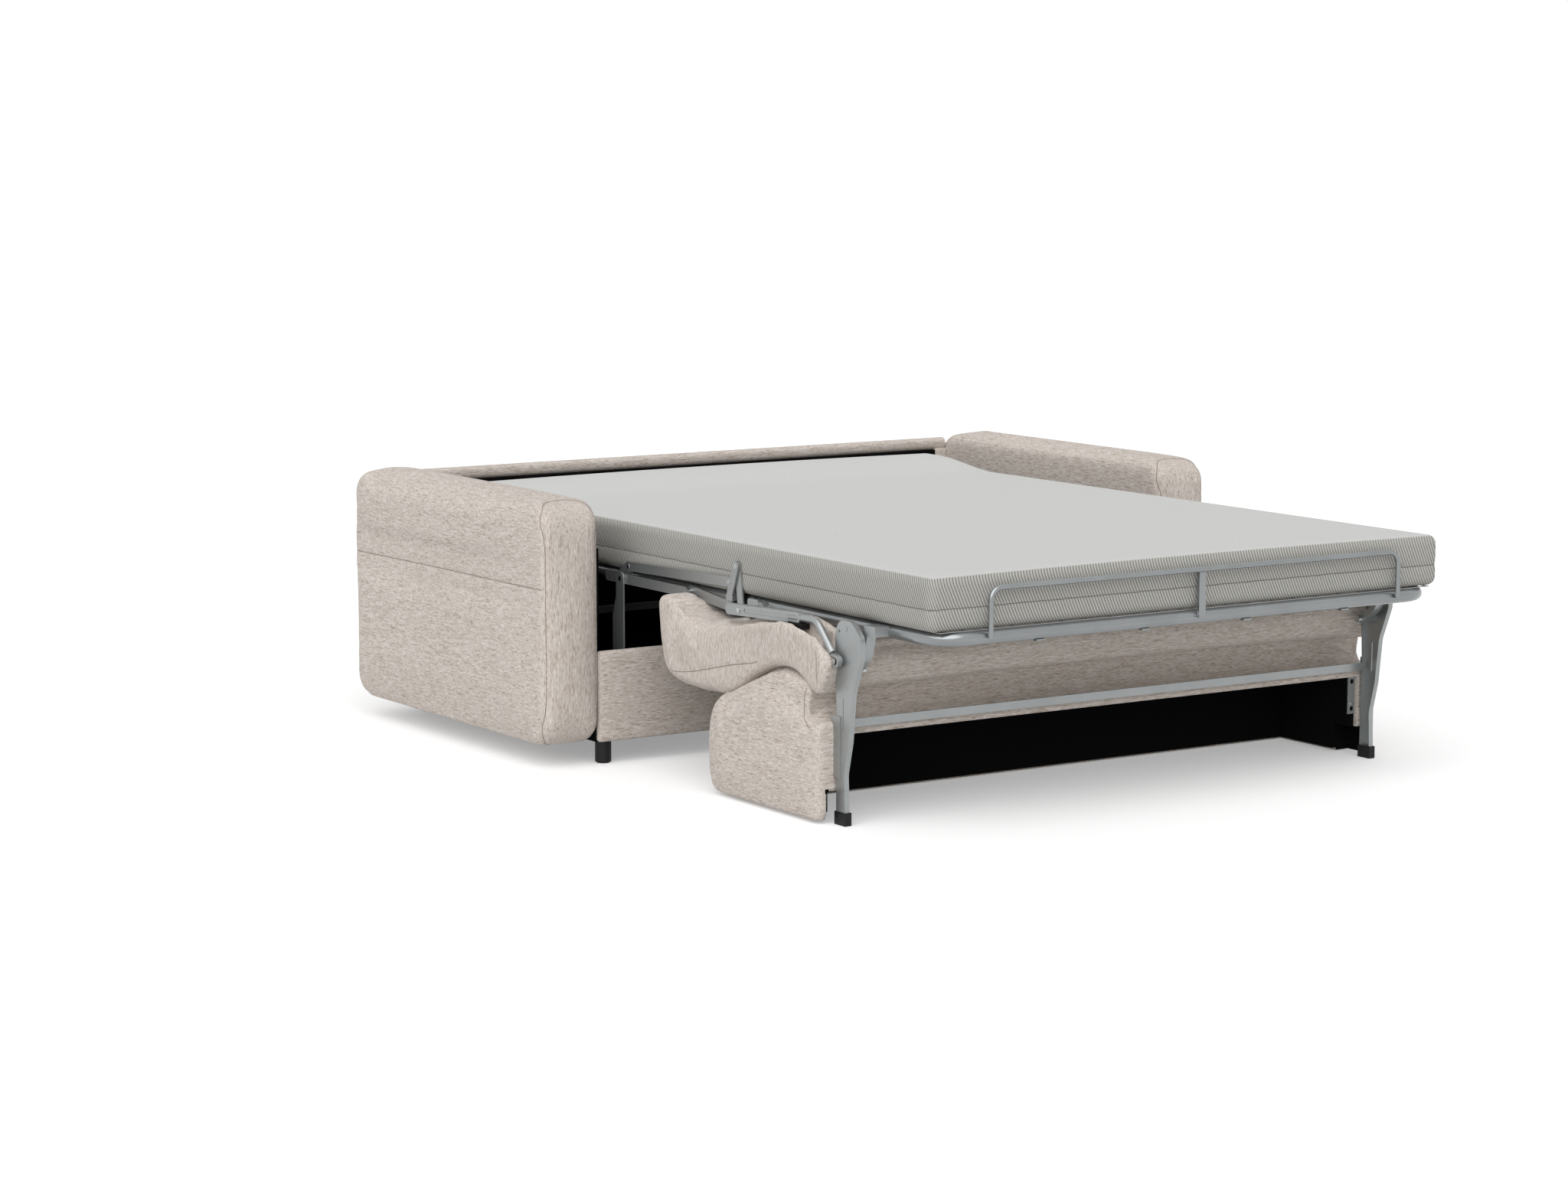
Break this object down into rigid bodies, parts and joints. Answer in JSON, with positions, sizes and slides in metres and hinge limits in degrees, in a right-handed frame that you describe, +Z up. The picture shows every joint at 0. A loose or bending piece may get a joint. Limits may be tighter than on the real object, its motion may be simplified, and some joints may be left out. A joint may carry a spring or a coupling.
{
  "type": "sofa bed",
  "caption": "Upholstered sofa bed shown open: padded arms, folding tube frame with wire nets and mattress, seat and hollow back that flip under the foot end.",
  "frame": {"origin": "middle of the open sofa bed's bounding box, on the floor", "axes": "+Y from the foot of the bed to the sofa's back, +Z up, X across"},
  "size_m": [1.929, 2.123, 0.615],
  "materials": {
    "fabric": "woven melange upholstery",
    "mattress": "ribbed knit ticking",
    "wood": "sawn softwood",
    "black_board": "black lined board",
    "black_plastic": "moulded black",
    "tube_steel": "satin silver powder coat",
    "net_steel": "satin silver powder coat",
    "pressed_steel": "grey powder coat",
    "pin_steel": "zinc plated"
  },
  "bodies": {
    "shell": {"arm_left_frame": "wood", "arm_right_frame": "wood", "arm_left_upholstery": "fabric", "arm_right_upholstery": "fabric", "front_panel_upholstery": "fabric", "front_panel_board": "black_board", "back_rail_upholstery": "fabric", "back_board": "black_board", "base_panel": "black_board", "side_liners": "black_board", "sofa_legs": "black_plastic", "leg_glides": "black_plastic", "swing_bracket_left": "pressed_steel", "swing_bracket_right": "pressed_steel", "rear_crossbar": "pressed_steel", "swing_pins": "pin_steel"},
    "swing_links": {"swing_link_left": "pressed_steel", "swing_link_right": "pressed_steel"},
    "foot_section": {"foot_frame_tube": "tube_steel", "foot_net": "net_steel", "end_hoop": "tube_steel", "hoop_strip": "tube_steel", "rail_clips": "tube_steel", "hinge_arm_left": "pressed_steel", "hinge_arm_right": "pressed_steel", "foot_ears": "pressed_steel", "strap_bracket_left": "pressed_steel", "strap_bracket_right": "pressed_steel", "blade_pins": "pin_steel", "foot_pins": "pin_steel", "seat_board": "wood", "seat_cushion": "fabric", "mattress_foot": "mattress"},
    "mid_section": {"mid_frame": "tube_steel", "mid_net": "net_steel", "mid_ears": "pressed_steel", "guide_link_left": "pressed_steel", "guide_link_right": "pressed_steel", "dog_leg_plates": "pressed_steel", "link_rivets": "pin_steel", "mid_lugs": "pressed_steel", "head_hinge_pins": "pin_steel", "mattress_mid": "mattress"},
    "head_section": {"head_frame_tube": "tube_steel", "head_net": "net_steel", "head_lugs": "pressed_steel", "mattress_head": "mattress"},
    "back_unit": {"leg_blade_left": "pressed_steel", "leg_blade_right": "pressed_steel", "foot_caps": "black_plastic", "eye_pins": "pin_steel", "blade_crossbar": "pressed_steel", "keyhole_brackets": "pressed_steel", "bracket_screws": "pin_steel", "back_boards": "black_board", "back_cushion": "fabric"},
    "leg_links": {"bent_link_left": "pressed_steel", "bent_link_right": "pressed_steel", "link_tabs": "black_plastic"}
  },
  "joints": [
    {"name": "swing", "type": "hinge", "parent": "shell", "child": "swing_links", "pos_m": [0, 0.17439, 0.42], "axis": [1, 0, 0], "range_deg": [0, 29.66]},
    {"name": "bed_fold", "type": "hinge", "parent": "swing_links", "child": "foot_section", "pos_m": [0, -0.1005, 0.42], "axis": [-1, 0, 0], "range_deg": [0, 209.65], "deforming": ["mattress_foot", "mattress_head", "mattress_mid"]},
    {"name": "mid_fold", "type": "hinge", "parent": "foot_section", "child": "mid_section", "pos_m": [0, -0.3085, 0.5], "axis": [1, 0, 0], "range_deg": [0, 180.01]},
    {"name": "head_fold", "type": "hinge", "parent": "mid_section", "child": "head_section", "pos_m": [0, 0.4805, 0.42], "axis": [1, 0, 0], "range_deg": [0, 95.01]},
    {"name": "back_fold", "type": "hinge", "parent": "foot_section", "child": "back_unit", "pos_m": [0, -0.7825, 0.33], "axis": [-1, 0, 0], "range_deg": [0, 90.01]},
    {"name": "leg_link_turn", "type": "hinge", "parent": "foot_section", "child": "leg_links", "pos_m": [0, -0.4025, 0.417], "axis": [1, 0, 0], "range_deg": [0, 5.51]}
  ],
  "couplings": [
    {"joint": "swing", "follows": "bed_fold", "ratio": 0.14144},
    {"joint": "mid_fold", "follows": "bed_fold", "ratio": 0.85856},
    {"joint": "head_fold", "follows": "bed_fold", "ratio": 0.45313},
    {"joint": "back_fold", "follows": "bed_fold", "ratio": 0.42928},
    {"joint": "leg_link_turn", "follows": "bed_fold", "ratio": 0.026234}
  ]
}
